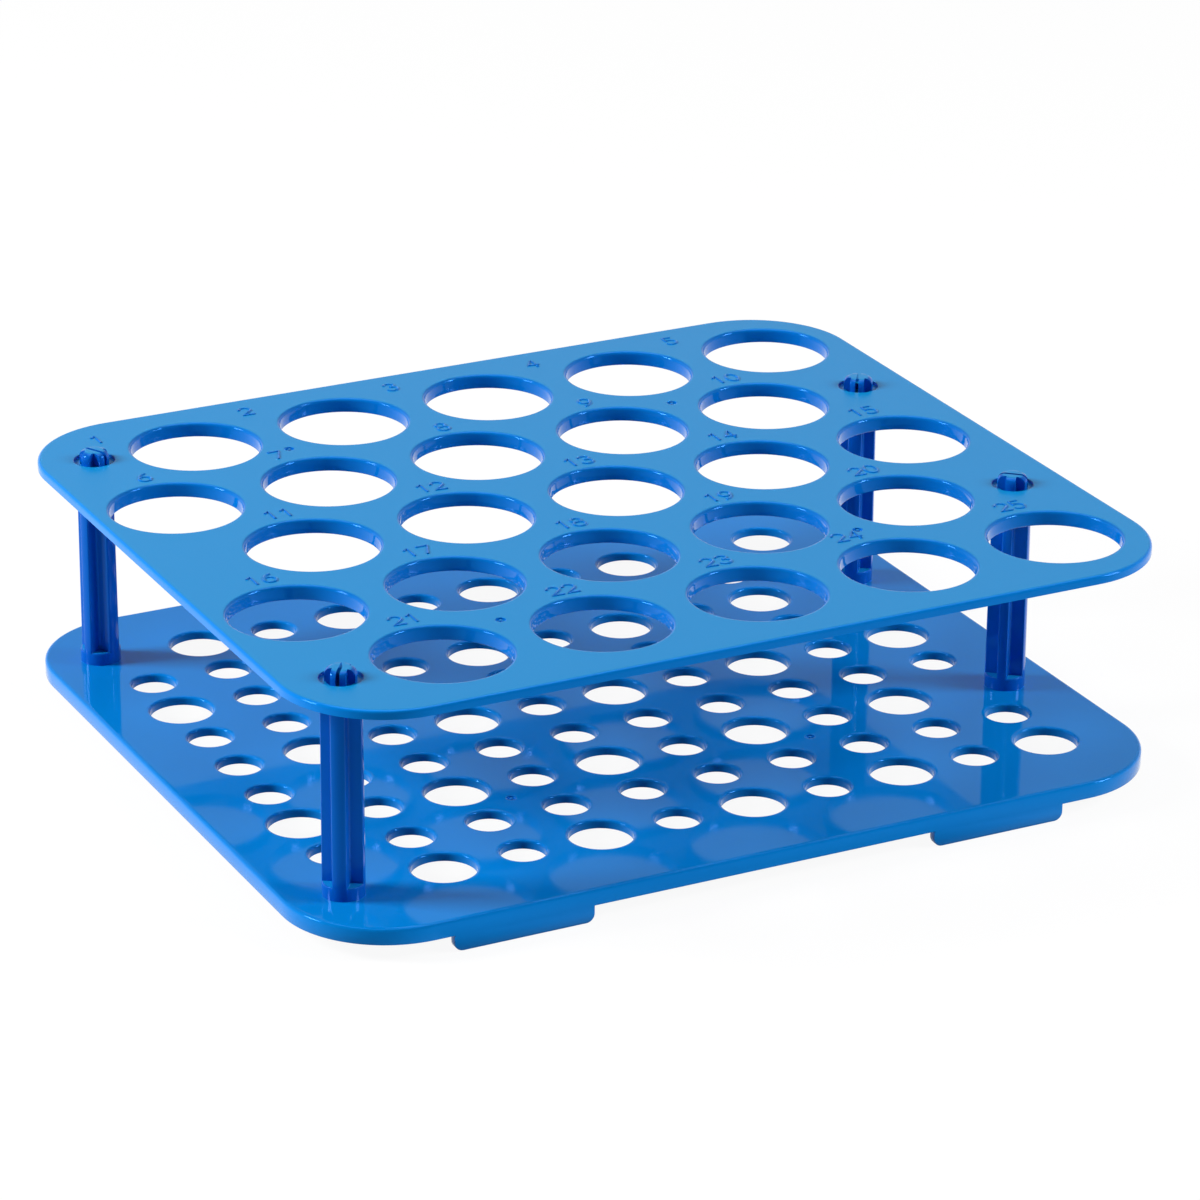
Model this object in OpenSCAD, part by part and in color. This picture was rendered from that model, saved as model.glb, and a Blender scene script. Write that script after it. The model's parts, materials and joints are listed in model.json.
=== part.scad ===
// Two-deck rack for wide conical centrifuge tubes.
// A flat top plate with staggered tube holes stands over a shallow tray-shaped
// base plate on four ribbed posts that snap into both plates.
// Origin: middle of the footprint, on the surface the base lugs stand on.
// +X runs along the hole rows, +Y to the back row, +Z up.

/* [Hole grid] */
// Tube holes in one row
hole_cols = 5; // [3:1:7]
// Rows of tube holes, counted from the back; every second row is set off by half a pitch
hole_rows = 5; // [5, 7]
// Distance between neighbouring holes of a row
hole_pitch = 37; // [36:0.5:42]
// Distance between rows
row_pitch = 33.2; // [31:0.2:38]
// Left plate edge to the first hole centre of a set-off row
margin_left = 18.5; // [18:0.5:24]
// Last hole centre of a row that isn't set off to the right plate edge
margin_right = 21; // [19:0.5:26]
// Front and back plate edges to the outer row's centre line
margin_end = 23.6; // [22:0.2:30]

/* [Top plate] */
// Thickness of the top plate
top_t = 2; // [1.6:0.1:3]
// Diameter of a tube hole
tube_hole_d = 29.6; // [24:0.1:30.4]
// Rounding of a tube hole's upper rim
tube_rim_r = 0.8; // [0.4:0.1:1.2]
// Length of the collar under a tube hole
collar_drop = 1.4; // [0.6:0.1:4]
// Wall of the collar under a tube hole
collar_wall = 1.4; // [1:0.1:1.8]

/* [Base plate] */
// Thickness of the base plate's web
web_t = 2; // [1.6:0.1:3]
// Height of the skirt around the base, web included
skirt_h = 3.8; // [3.4:0.1:8]
// Wall of the skirt
skirt_t = 2; // [1.4:0.1:3]
// Diameter of the holes that take the tubes' tips
tip_hole_d = 14.2; // [10:0.1:16]
// Diameter of the drain holes between them
drain_hole_d = 10; // [6:0.1:11]
// Chamfer on the upper rims of the base holes
base_rim = 0.5; // [0.3:0.1:0.8]

/* [Plate outline] */
// Corner radius of both plates
corner_r = 24; // [16:1:30]
// Rounding of the plates' upper outer edge
edge_r = 0.8; // [0.4:0.1:1.2]

/* [Lugs] */
// Length of a standing lug under the front and back skirt
lug_l = 32.4; // [20:0.2:40]
// How far a lug reaches below the skirt
lug_h = 3.7; // [3:0.1:8]
// Rounding of a lug's lower corners
lug_r = 2; // [1:0.1:2.8]
// Distance between the middles of the two lugs on one side
lug_spacing = 114.4; // [90:0.2:120]

/* [Posts] */
// Clear height between the two plates
deck_gap = 47; // [30:0.5:80]
// Diameter over the ribs at the post's foot
post_foot_d = 9.2; // [8.4:0.1:10]
// Diameter over the ribs under the top plate
post_top_d = 8.8; // [8:0.1:9.2]
// Thickness of the wide rib, which the snap slot splits
rib_wide = 3.2; // [2.4:0.1:4]
// Thickness of the thin rib across it
rib_thin = 2.2; // [1.6:0.1:3]
// Rounding in the bottom of each flute
flute_r = 0.5; // [0.3:0.1:0.8]
// Height of the solid collar at the post's foot
foot_h = 3; // [2:0.1:6]
// Short plate edges to the middle of a post
post_inset = 13; // [12:0.5:15]
// How far a post stands outside its row's centre line
post_offset = 2; // [0:0.2:4]

/* [Snap ends] */
// Diameter of the hole that a snap end passes
snap_hole_d = 6.4; // [6:0.1:7]
// Radial clearance of the neck in that hole
neck_clearance = 0.15; // [0.1:0.05:0.3]
// How far the snap head hooks over the edge of its hole
snap_hook = 0.25; // [0.15:0.05:0.4]
// Gap between the hooked head and the face under it
snap_play = 0.05; // [0.05:0.05:0.2]
// Height of the domed head
head_h = 3; // [2:0.1:4]
// Diameter of the flat on top of the dome
head_flat_d = 3.8; // [2.5:0.1:5]
// Width of the slot that lets the head spring together
slot_w = 0.8; // [0.4:0.1:1.2]
// Diameter of the recess round a snap head in the top plate
recess_d = 9.3; // [8.6:0.1:10]
// Depth of that recess
recess_depth = 0.7; // [0.3:0.1:1]

/* [Gate marks] */
// Diameter of the dimple at a moulding gate
gate_d = 2.2; // [1.6:0.1:2.6]
// Depth of that dimple
gate_depth = 0.5; // [0.2:0.1:0.8]
// Diameter of the vestige that stands in its middle
vestige_d = 0.8; // [0.4:0.1:1.2]
// Centre of a tube hole to the gate beside it in the top plate
gate_reach = 22.3; // [20:0.1:24]

/* [Hidden] */
$fn = 96;

// Cutters reach past the faces they open by this much
over = 1;

// Plate outline, from the grid and its margins
plate_l = (hole_cols - 0.5) * hole_pitch + margin_left + margin_right;
plate_w = (hole_rows - 1) * row_pitch + 2 * margin_end;
grid_left = margin_left - plate_l / 2;
grid_mid = grid_left + (hole_cols - 0.5) * hole_pitch / 2;

// Heights, counted from the surface the lugs stand on
web_top = lug_h + skirt_h;
top_under = web_top + deck_gap;
top_face = top_under + top_t;

// Snap ends
neck_d = snap_hole_d - 2 * neck_clearance;
hook_d = snap_hole_d + 2 * snap_hook;

// Hole and post places
function row_y(row) = ((hole_rows - 1) / 2 - row) * row_pitch;
function set_off(row) = row % 2 == 1;
function hole_x(row, col) = grid_left + (col + (set_off(row) ? 0 : 0.5)) * hole_pitch;

tube_places = [for (row = [0 : hole_rows - 1], col = [0 : hole_cols - 1])
    [hole_x(row, col), row_y(row)]];

// The left posts stand by the outer rows, the right ones one row further in
inner_row = 1;
post_left_x = post_inset - plate_l / 2;
post_right_x = plate_l / 2 - post_inset;
back_left = [post_left_x, row_y(0) + post_offset];
front_left = [post_left_x, row_y(hole_rows - 1) - post_offset];
back_right = [post_right_x, row_y(inner_row) + post_offset];
front_right = [post_right_x, row_y(hole_rows - 1 - inner_row) - post_offset];
post_places = [back_left, front_left, back_right, front_right];

// Round seats leave the posts' turn to chance: the wide rib's direction, from +X
turn_back_left = 118;
turn_front_left = 54;
turn_back_right = 54;
turn_front_right = 139;

// Drain holes fill the half-pitch grid between the tip holes, clear of the posts
drain_post_gap = 3;
drain_keep_out = post_foot_d / 2 + drain_hole_d / 2 + drain_post_gap;

function half_step(row2, col2) =
    [grid_left + col2 * hole_pitch / 2, row_y(row2 / 2)];
function is_tip(row2, col2) =
    row2 % 2 == 0 && col2 % 2 == (set_off(row2 / 2) ? 0 : 1);
function near_post(place) =
    min([for (post = post_places) norm(place - post)]) < drain_keep_out;

drain_places = [for (row2 = [0 : 2 * hole_rows - 2], col2 = [0 : 2 * hole_cols - 1])
    let (place = half_step(row2, col2))
    if (!is_tip(row2, col2) && !near_post(place)) place];

// Gates of the top plate: two outside the second hole of the inner set-off rows, and
// two inside the second last hole of the outer rows
top_gates = [for (side = [-1, 1])
    for (place = [
        [hole_x(inner_row, 1), row_y(inner_row) + gate_reach],
        [hole_x(0, hole_cols - 2), row_y(0) - gate_reach]
    ])
    [place.x, side * place.y]];

// Gates of the base: each in the middle between four holes of the half-pitch grid,
// this many half steps in from its outer row and its left-hand column
gate_row2 = 1.5;
gate_col2 = 2.5;
base_gates = [for (row2 = [gate_row2, 2 * hole_rows - 2 - gate_row2],
                   col2 = [gate_col2, 2 * hole_cols - 1 - gate_col2])
    half_step(row2, col2)];

plate_blue = "#2f86cf";
post_blue = "#1565bd";

// ---- Profiles ----

// Edge section of a plate: flat below, rounded at the upper outer corner
module plate_section(t) {
    square([corner_r - edge_r, t]);
    square([corner_r, t - edge_r]);
    translate([corner_r - edge_r, t - edge_r])
        circle(r = edge_r, $fn = 48);
}

// Edge section of the base: the plate's, with the skirt hanging from it
module tray_section() {
    plate_section(web_t);
    translate([corner_r - skirt_t, web_t - skirt_h])
        square([skirt_t, skirt_h - edge_r]);
}

// Cross section of a post: a wide and a thin rib with rounded flute bottoms
module rib_cross(reach) {
    difference() {
        square(2 * reach, center = true);
        for (sx = [0, 1], sy = [0, 1])
            mirror([sx, 0])
                mirror([0, sy])
                    flute(reach);
    }
}

// One flute of the cross, open to the outside
module flute(reach) {
    far = reach + over;
    translate([rib_thin / 2, rib_wide / 2]) {
        translate([flute_r, 0])
            square([far, far]);
        translate([0, flute_r])
            square([far, far]);
        translate([flute_r, flute_r])
            circle(r = flute_r, $fn = 32);
    }
}

// ---- Shared solids ----

// A plate swept from its edge section, which the children draw in the X-Y plane:
// reach along +X from the core's rim, height along +Y
module swept_plate(t) {
    core_l = plate_l - 2 * corner_r;
    core_w = plate_w - 2 * corner_r;
    translate([-core_l / 2, -core_w / 2])
        cube([core_l, core_w, t]);
    for (turn = [0, 180])
        rotate([0, 0, turn]) {
            swept_side(core_l, core_w)
                children();
            swept_corner(core_l, core_w)
                children();
            rotate([0, 0, 90]) {
                swept_side(core_w, core_l)
                    children();
                swept_corner(core_w, core_l)
                    children();
            }
        }
}

// The strip along one side of the core
module swept_side(along, across) {
    translate([-along / 2, across / 2, 0])
        rotate([90, 0, 90])
            linear_extrude(along)
                children();
}

// The quarter turn at one corner of the core
module swept_corner(along, across) {
    translate([along / 2, across / 2, 0])
        rotate_extrude(angle = 90)
            children();
}

// Cutter for a hole with a rounded upper rim; the plate's face is at z = 0
module rimmed_hole(d, rim_r, depth) {
    translate([0, 0, -depth - over])
        cylinder(d = d, h = depth + 2 * over);
    rotate_extrude()
        difference() {
            translate([0, -rim_r])
                square([d / 2 + rim_r, rim_r + over]);
            translate([d / 2 + rim_r, -rim_r])
                circle(r = rim_r, $fn = 48);
        }
}

// Cutter for a hole with a chamfered upper rim; the plate's face is at z = 0
module chamfered_hole(d, rim, depth) {
    translate([0, 0, -depth - over])
        cylinder(d = d, h = depth + 2 * over);
    translate([0, 0, -rim - over])
        cylinder(d1 = d - 2 * over, d2 = d + 2 * (rim + over), h = rim + 2 * over);
}

// Cutter for the ring-shaped dimple round a gate's vestige; the plate's face is at z = 0
module gate_dimple() {
    translate([0, 0, -gate_depth])
        difference() {
            cylinder(d = gate_d, h = gate_depth + over, $fn = 32);
            translate([0, 0, -over])
                cylinder(d = vestige_d, h = gate_depth + 3 * over, $fn = 32);
        }
}

// ---- Plates ----

module top_plate() {
    color(plate_blue)
        difference() {
            union() {
                translate([0, 0, top_under])
                    swept_plate(top_t)
                        plate_section(top_t);
                for (place = tube_places)
                    translate([place.x, place.y, top_under - collar_drop])
                        cylinder(d = tube_hole_d + 2 * collar_wall, h = collar_drop + top_t / 2);
            }
            for (place = tube_places)
                translate([place.x, place.y, top_face])
                    rimmed_hole(tube_hole_d, tube_rim_r, top_t + collar_drop);
            for (place = top_gates)
                translate([place.x, place.y, top_face])
                    gate_dimple();
            for (place = post_places)
                translate([place.x, place.y, top_face]) {
                    translate([0, 0, -recess_depth])
                        cylinder(d = recess_d, h = recess_depth + over);
                    translate([0, 0, -top_t - over])
                        cylinder(d = snap_hole_d, h = top_t + 2 * over, $fn = 48);
                }
        }
}

module base_plate() {
    color(plate_blue)
        difference() {
            union() {
                translate([0, 0, web_top - web_t])
                    swept_plate(web_t)
                        tray_section();
                lugs();
            }
            for (place = tube_places)
                translate([place.x, place.y, web_top])
                    chamfered_hole(tip_hole_d, base_rim, web_t);
            for (place = drain_places)
                translate([place.x, place.y, web_top])
                    chamfered_hole(drain_hole_d, base_rim, web_t);
            for (place = base_gates)
                translate([place.x, place.y, web_top])
                    gate_dimple();
            for (place = post_places)
                translate([place.x, place.y, web_top - web_t - over])
                    cylinder(d = snap_hole_d, h = web_t + 2 * over, $fn = 48);
        }
}

// Two standing lugs under the front skirt and two under the back
module lugs() {
    for (side = [-1, 1], end = [-1, 1])
        translate([grid_mid + end * lug_spacing / 2, side * (plate_w - skirt_t) / 2, 0])
            rotate([90, 0, 0])
                linear_extrude(skirt_t, center = true)
                    lug_face();
}

// Front view of a lug: square to the skirt above, rounded below
module lug_face() {
    translate([-lug_l / 2, lug_r])
        square([lug_l, lug_h - lug_r]);
    translate([lug_r - lug_l / 2, 0])
        square([lug_l - 2 * lug_r, lug_h]);
    for (end = [-1, 1])
        translate([end * (lug_l / 2 - lug_r), lug_r])
            circle(r = lug_r);
}

// ---- Posts ----

// A post at the origin of the deck gap: z = 0 is the base plate's upper face
module post() {
    translate([0, 0, foot_h])
        intersection() {
            cylinder(d1 = post_foot_d, d2 = post_top_d, h = deck_gap - foot_h);
            linear_extrude(deck_gap - foot_h)
                rib_cross(post_foot_d);
        }
    cylinder(d = post_foot_d, h = foot_h);
    translate([0, 0, deck_gap])
        snap_end(top_t - recess_depth);
    mirror([0, 0, 1])
        snap_end(web_t);
}

// Split neck and domed head that pass a plate of the given thickness
module snap_end(grip) {
    reach = grip + snap_play + head_h;
    difference() {
        intersection() {
            union() {
                cylinder(d = neck_d, h = grip + snap_play);
                translate([0, 0, grip + snap_play])
                    snap_head();
            }
            linear_extrude(reach)
                rib_cross(hook_d);
        }
        translate([-hook_d, -slot_w / 2, 0])
            cube([2 * hook_d, slot_w, reach + over]);
    }
}

// Domed head: widest at its hooked foot, domed up to a small flat
module snap_head() {
    dome_r = (hook_d - head_flat_d) / 2;
    rotate_extrude() {
        square([hook_d / 2, head_h - dome_r]);
        square([head_flat_d / 2, head_h]);
        translate([head_flat_d / 2, head_h - dome_r])
            intersection() {
                circle(r = dome_r, $fn = 48);
                square(dome_r);
            }
    }
}

// A post in its two seats, turned about its own axis
module placed_post(place, turn) {
    color(post_blue)
        translate([place.x, place.y, web_top])
            rotate([0, 0, turn])
                post();
}

module post_back_left() {
    placed_post(back_left, turn_back_left);
}

module post_front_left() {
    placed_post(front_left, turn_front_left);
}

module post_back_right() {
    placed_post(back_right, turn_back_right);
}

module post_front_right() {
    placed_post(front_right, turn_front_right);
}

top_plate();
base_plate();
post_back_left();
post_front_left();
post_back_right();
post_front_right();
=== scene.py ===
"""Blue two-deck rack for wide conical tubes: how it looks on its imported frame.

Each class models one sub-assembly with bmesh operators, in millimetres, and dresses it
with its own finish. Places come from the frame's boxes and mounts, so a piece lies where
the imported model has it.
"""

import json
import logging
import math
from collections.abc import Sequence
from dataclasses import dataclass, replace
from enum import Enum

import bmesh
import bpy
from bmesh.types import BMEdge, BMesh, BMVert
from bpy.types import ID, Material, Node, NodeSocket, NodeTree, Object
from mathutils import Matrix, Vector


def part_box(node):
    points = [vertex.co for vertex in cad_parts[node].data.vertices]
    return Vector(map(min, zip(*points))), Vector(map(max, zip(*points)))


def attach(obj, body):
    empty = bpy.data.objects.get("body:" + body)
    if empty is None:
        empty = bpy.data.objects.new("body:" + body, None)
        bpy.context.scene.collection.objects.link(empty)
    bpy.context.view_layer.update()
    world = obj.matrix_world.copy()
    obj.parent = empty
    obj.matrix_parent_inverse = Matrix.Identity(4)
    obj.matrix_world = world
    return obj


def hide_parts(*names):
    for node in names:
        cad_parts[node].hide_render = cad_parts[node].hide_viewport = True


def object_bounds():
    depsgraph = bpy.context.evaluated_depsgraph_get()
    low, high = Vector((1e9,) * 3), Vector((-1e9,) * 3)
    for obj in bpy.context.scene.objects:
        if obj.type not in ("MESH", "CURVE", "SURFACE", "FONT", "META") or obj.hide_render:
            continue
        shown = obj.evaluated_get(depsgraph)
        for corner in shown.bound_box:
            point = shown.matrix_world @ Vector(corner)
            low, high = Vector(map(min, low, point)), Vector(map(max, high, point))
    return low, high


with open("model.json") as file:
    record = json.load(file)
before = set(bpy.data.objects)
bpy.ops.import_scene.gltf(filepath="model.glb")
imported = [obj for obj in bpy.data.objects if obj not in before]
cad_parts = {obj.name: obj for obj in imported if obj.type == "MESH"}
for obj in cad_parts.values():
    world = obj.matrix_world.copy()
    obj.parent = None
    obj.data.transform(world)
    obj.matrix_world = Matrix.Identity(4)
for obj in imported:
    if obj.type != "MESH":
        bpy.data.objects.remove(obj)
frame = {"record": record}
CAD_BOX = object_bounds()

LOG = logging.getLogger("tube_rack")
MM = 0.001
BODY = "root"
ORIGIN = Vector((0, 0, 0))
UP = Vector((0, 0, 1))
ROUND_Y = (0, -1, 0)  # a turn about it leads from outwards to upwards
TOUCH = 1e-4  # points nearer than this, in millimetres, are one
SHARP_TURN = math.radians(38)  # an edge that turns further than this shows as an edge
MIX_A, MIX_B, MIX_RESULT = 6, 7, 2  # the colour sockets of a Mix node
Point = tuple[float, float, float]
Pair = tuple[float, float]


# ---- Values shared by the pieces, in millimetres ----

class Row(Enum):
    """The two kinds of row in the staggered grid."""

    STRAIGHT = "straight"
    SET_OFF = "set off"


class Gloss(Enum):
    """How polished the mould was: lowest and highest roughness of what came out of it."""

    MIRROR = (0.03, 0.07)
    POLISHED = (0.07, 0.13)


def millimetres(place: Sequence[float]) -> Vector:
    """Turn a point of the frame, in metres, into millimetres."""
    return Vector(place) / MM


@dataclass(frozen=True)
class HoleGrid:
    """The staggered grid of tube holes, read from the record's mounts."""

    columns: int = 5
    rows: int = 5

    def hole(self, number: int) -> Vector:
        """Find the middle of a numbered tube hole.

        Args:
            number: The hole's number, from 1 at the back left.

        Returns:
            The hole's centre on the grid, with z at 0.
        """
        mounts = {mount["name"]: mount for mount in frame["record"]["mounts"]}
        place = millimetres(mounts[f"tube_hole_{number}"]["pos_m"])
        return Vector((place.x, place.y, 0))

    def holes(self) -> list[Vector]:
        """List the tube holes in the order of their numbers."""
        return [self.hole(number + 1) for number in range(self.columns * self.rows)]

    def pitch(self) -> float:
        """Give the distance between neighbours in a row."""
        return self.hole(2).x - self.hole(1).x

    def row_pitch(self) -> float:
        """Give the distance between rows."""
        return self.hole(1).y - self.hole(self.columns + 1).y

    def kind(self, row: int) -> Row:
        """Tell which kind of row this is, counted from the back."""
        return Row.SET_OFF if row % 2 else Row.STRAIGHT

    def drains(self, posts: Sequence[Vector], keep_out: float) -> list[Vector]:
        """List the drain holes, which fill the half-pitch grid between the tip holes.

        Args:
            posts: The middles of the posts.
            keep_out: The least distance from a post's middle to a drain hole's.

        Returns:
            The centres of the drain holes.
        """
        step_x, step_y = self.pitch() / 2, self.row_pitch() / 2
        left = min(place.x for place in self.holes())
        back = self.hole(1).y
        places = []
        for row in range(2 * self.rows - 1):
            for column in range(2 * self.columns):
                place = Vector((left + column * step_x, back - row * step_y, 0))
                first = 0 if self.kind(row // 2) is Row.SET_OFF else 1
                is_tip = row % 2 == 0 and column % 2 == first
                if not is_tip and all((place - post).length > keep_out for post in posts):
                    places.append(place)
        return places


# ---- Materials ----

def linear(colour: str) -> tuple[float, float, float, float]:
    """Turn an sRGB hex colour into the linear values that a socket takes.

    Args:
        colour: The colour as "#rrggbb".

    Returns:
        Linear red, green and blue, and an alpha of 1.
    """
    parts = [int(colour[i:i + 2], 16) / 255 for i in (1, 3, 5)]
    red, green, blue = (c / 12.92 if c <= 0.04045 else ((c + 0.055) / 1.055) ** 2.4
                        for c in parts)
    return red, green, blue, 1.0


def add_node(tree: NodeTree, kind: str, sockets: dict[str | int, object] | None = None,
             **settings: object) -> Node:
    """Add a node with its settings, its constants and its links.

    Args:
        tree: The node tree that gets the node.
        kind: The node's Blender name, less its "ShaderNode".
        sockets: For each input, a constant or the output socket that feeds it.
        **settings: The node's own properties.

    Returns:
        The new node.
    """
    node = tree.nodes.new("ShaderNode" + kind)
    for name, value in settings.items():
        setattr(node, name, value)
    for name, value in (sockets or {}).items():
        if isinstance(value, NodeSocket):
            tree.links.new(value, node.inputs[name])
        else:
            node.inputs[name].default_value = value
    return node


def per_metre(size_mm: float) -> float:
    """Give the texture scale at which one feature is this many millimetres across."""
    return 1 / (size_mm * MM)


@dataclass(frozen=True)
class MouldedPolypropylene:
    """Polypropylene from a polished injection mould.

    The polished steel leaves a glossy skin. It mirrors what stands on it, but slightly
    wavy, because the plastic sinks as it cools. The pigment flows out from the gates in
    faint lighter and darker streaks, and handling leaves a fine haze. Faces that look up
    are mixed towards a paler colour, which is painted light: it makes them look lit and
    paler than the walls; they also get a rougher haze. The dye is in the skin too, so what
    it mirrors turns blue. The real grain of the steel is finer than a tenth of a
    millimetre, and is drawn as coarse as it needs to show.
    """

    name: str
    pigment: str
    pale_pigment: str
    gloss: Gloss
    bloom: float = 0.0
    bloom_span: Pair = (0.9, 1.0)
    bloom_colour: str = "#0e8acc"
    bloom_roughness: float = 0.14
    ior: float = 1.49
    reflection: str = "#2496ff"
    streak_mm: float = 46.0
    haze_mm: float = 7.0
    haze_span: Pair = (0.3, 0.7)
    sink_mm: float = 24.0
    sink_depth_mm: float = 0.02
    grain_mm: float = 0.9
    grain_depth_mm: float = 0.0006

    def material(self) -> Material:
        """Build the finish as a node material on Object coordinates.

        Returns:
            The material, which all pieces of this finish share.
        """
        made = bpy.data.materials.get(self.name)
        if made:
            return made
        made = bpy.data.materials.new(self.name)
        made.use_nodes = True
        tree = made.node_tree
        tree.nodes.clear()
        place = add_node(tree, "TexCoord").outputs["Object"]
        streaks = add_node(tree, "TexNoise", {
            "Vector": place, "Scale": per_metre(self.streak_mm), "Detail": 4.0,
            "Roughness": 0.6, "Distortion": 1.2})
        colour = add_node(tree, "Mix", {
            "Factor": streaks.outputs["Fac"], MIX_A: linear(self.pigment),
            MIX_B: linear(self.pale_pigment)}, data_type="RGBA")
        # Faces that look up get the painted-light colour and a rougher haze.
        upward = add_node(tree, "SeparateXYZ", {
            "Vector": add_node(tree, "TexCoord").outputs["Normal"]})
        start, full = self.bloom_span
        top_light_and_haze_mask = add_node(tree, "MapRange", {
            "Value": upward.outputs["Z"], "From Min": start, "From Max": full,
            "To Min": 0.0, "To Max": self.bloom})
        colour_with_painted_top_light = add_node(tree, "Mix", {
            "Factor": top_light_and_haze_mask.outputs["Result"], MIX_A: colour.outputs[MIX_RESULT],
            MIX_B: linear(self.bloom_colour)}, data_type="RGBA")
        haze = add_node(tree, "TexNoise", {
            "Vector": place, "Scale": per_metre(self.haze_mm), "Detail": 6.0,
            "Roughness": 0.65})
        clean, hazed = self.haze_span
        smoothest, roughest = self.gloss.value
        polished = add_node(tree, "MapRange", {
            "Value": haze.outputs["Fac"], "From Min": clean, "From Max": hazed,
            "To Min": smoothest, "To Max": roughest})
        roughness = add_node(tree, "Math", {
            0: top_light_and_haze_mask.outputs["Result"], 1: self.bloom_roughness,
            2: polished.outputs["Result"]}, operation="MULTIPLY_ADD")
        sink = add_node(tree, "TexNoise", {
            "Vector": place, "Scale": per_metre(self.sink_mm), "Detail": 1.0,
            "Roughness": 0.4})
        sunk = add_node(tree, "Bump", {
            "Height": sink.outputs["Fac"], "Strength": 1.0,
            "Distance": self.sink_depth_mm * MM})
        grain = add_node(tree, "TexNoise", {
            "Vector": place, "Scale": per_metre(self.grain_mm), "Detail": 2.0})
        skin = add_node(tree, "Bump", {
            "Height": grain.outputs["Fac"], "Strength": 1.0,
            "Distance": self.grain_depth_mm * MM, "Normal": sunk.outputs["Normal"]})
        surface = add_node(tree, "BsdfPrincipled", {
            "Base Color": colour_with_painted_top_light.outputs[MIX_RESULT], "Roughness": roughness.outputs[0],
            "IOR": self.ior, "Specular Tint": linear(self.reflection),
            "Normal": skin.outputs["Normal"]})
        add_node(tree, "OutputMaterial", {"Surface": surface.outputs["BSDF"]})
        return made


# Its pigment is painted deeper, as painted shade in the hole walls, and its upward faces are
# painted paler: painted light. Tubes and hands rub the top plate, so its open face has a
# soft haze over the gloss.
TOP_FINISH = MouldedPolypropylene(
    "moulded_polypropylene_hazed_painted_light_shade", "#026cc4", "#0374ca", Gloss.MIRROR, bloom=1.0,
    bloom_roughness=0.17, sink_depth_mm=0.004, grain_depth_mm=0.0002)
# The top plate's outer edge is painted a lighter blue: painted light, as if light entering
# the plate came out at its edge.
PAINTED_EDGE_LIGHT_FINISH = replace(TOP_FINISH, name="moulded_polypropylene_painted_edge_light", pigment="#0281e1",
                      pale_pigment="#0288e8")
# The base lies out of reach: its face stays a mirror, in which the posts show. Its upward
# faces are painted slightly paler: painted light.
BASE_FINISH = MouldedPolypropylene(
    "moulded_polypropylene_mirror_painted_top_light", "#0278cc", "#0280d4", Gloss.MIRROR, bloom=0.6,
    bloom_colour="#0282ce", bloom_roughness=0.0)
# The posts are painted a deeper blue than the plates: painted shade. They come from a
# plainer mould, with a softer gloss and closer sink marks, and their upward faces are
# painted paler: painted light.
POST_FINISH = MouldedPolypropylene(
    "moulded_polypropylene_posts_painted_light_shade", "#0258b8", "#0360c0", Gloss.POLISHED, bloom=1.0,
    sink_mm=9.0, sink_depth_mm=0.008)


# ---- Tools that the pieces share ----

@dataclass
class Pen:
    """Draws an open outline in a bmesh: straight lines, and arcs spun from its tip."""

    bm: BMesh
    tip: BMVert

    @classmethod
    def at(cls, bm: BMesh, point: Point) -> "Pen":
        """Put the pen down at a point."""
        return cls(bm, bm.verts.new(point))

    def line(self, *points: Point) -> "Pen":
        """Draw straight on through points.

        Args:
            *points: The points, in order.

        Returns:
            This pen, at the last point.
        """
        for point in points:
            vert = self.bm.verts.new(point)
            self.bm.edges.new((self.tip, vert))
            self.tip = vert
        return self

    def arc(self, centre: Point, axis: Point, degrees: float, steps: int) -> "Pen":
        """Draw an arc by spinning the tip.

        Args:
            centre: The arc's centre.
            axis: The direction of its axis.
            degrees: How far it turns.
            steps: How many edges it gets.

        Returns:
            This pen, at the arc's end.
        """
        spun = bmesh.ops.spin(self.bm, geom=[self.tip], cent=centre, axis=axis,
                              angle=math.radians(degrees), steps=steps)
        self.tip = next(e for e in spun["geom_last"] if isinstance(e, BMVert))
        return self


def revolve(bm: BMesh, steps: int) -> None:
    """Spin the whole outline in a bmesh once round the Z axis and close the seam.

    Args:
        bm: The bmesh that holds the outline, in the plane y = 0.
        steps: How many faces go round.
    """
    bmesh.ops.spin(bm, geom=bm.verts[:] + bm.edges[:], cent=ORIGIN, axis=UP,
                   angle=math.tau, steps=steps, use_merge=True)
    bmesh.ops.remove_doubles(bm, verts=bm.verts, dist=TOUCH)


def stamp(bm: BMesh, form: BMesh, places: Sequence[Vector] = (ORIGIN,)) -> None:
    """Copy one form to one or more places of a mesh.

    Args:
        bm: The mesh that gets the copies.
        form: The form, about the origin.
        places: Where the copies go.
    """
    mesh = bpy.data.meshes.new("stamp")
    form.to_mesh(mesh)
    here = ORIGIN
    for place in places:
        mesh.transform(Matrix.Translation(place - here))
        bm.from_mesh(mesh)
        here = place
    bpy.data.meshes.remove(mesh)


def fill_level(bm: BMesh, level: float) -> None:
    """Fill the flat face between all open loops at one height.

    Args:
        bm: The mesh whose open edges bound the face.
        level: The height of the face.
    """
    rims = [e for e in bm.edges if e.is_boundary
            and all(abs(v.co.z - level) < TOUCH for v in e.verts)]
    bmesh.ops.triangle_fill(bm, use_beauty=True, use_dissolve=False, edges=rims, normal=UP)


def add_object(name: str, data: ID) -> Object:
    """Put a new object into the scene.

    Args:
        name: Its name.
        data: Its mesh, curve, lamp or camera.

    Returns:
        The object.
    """
    made = bpy.data.objects.new(name, data)
    bpy.context.scene.collection.objects.link(made)
    return made


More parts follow.
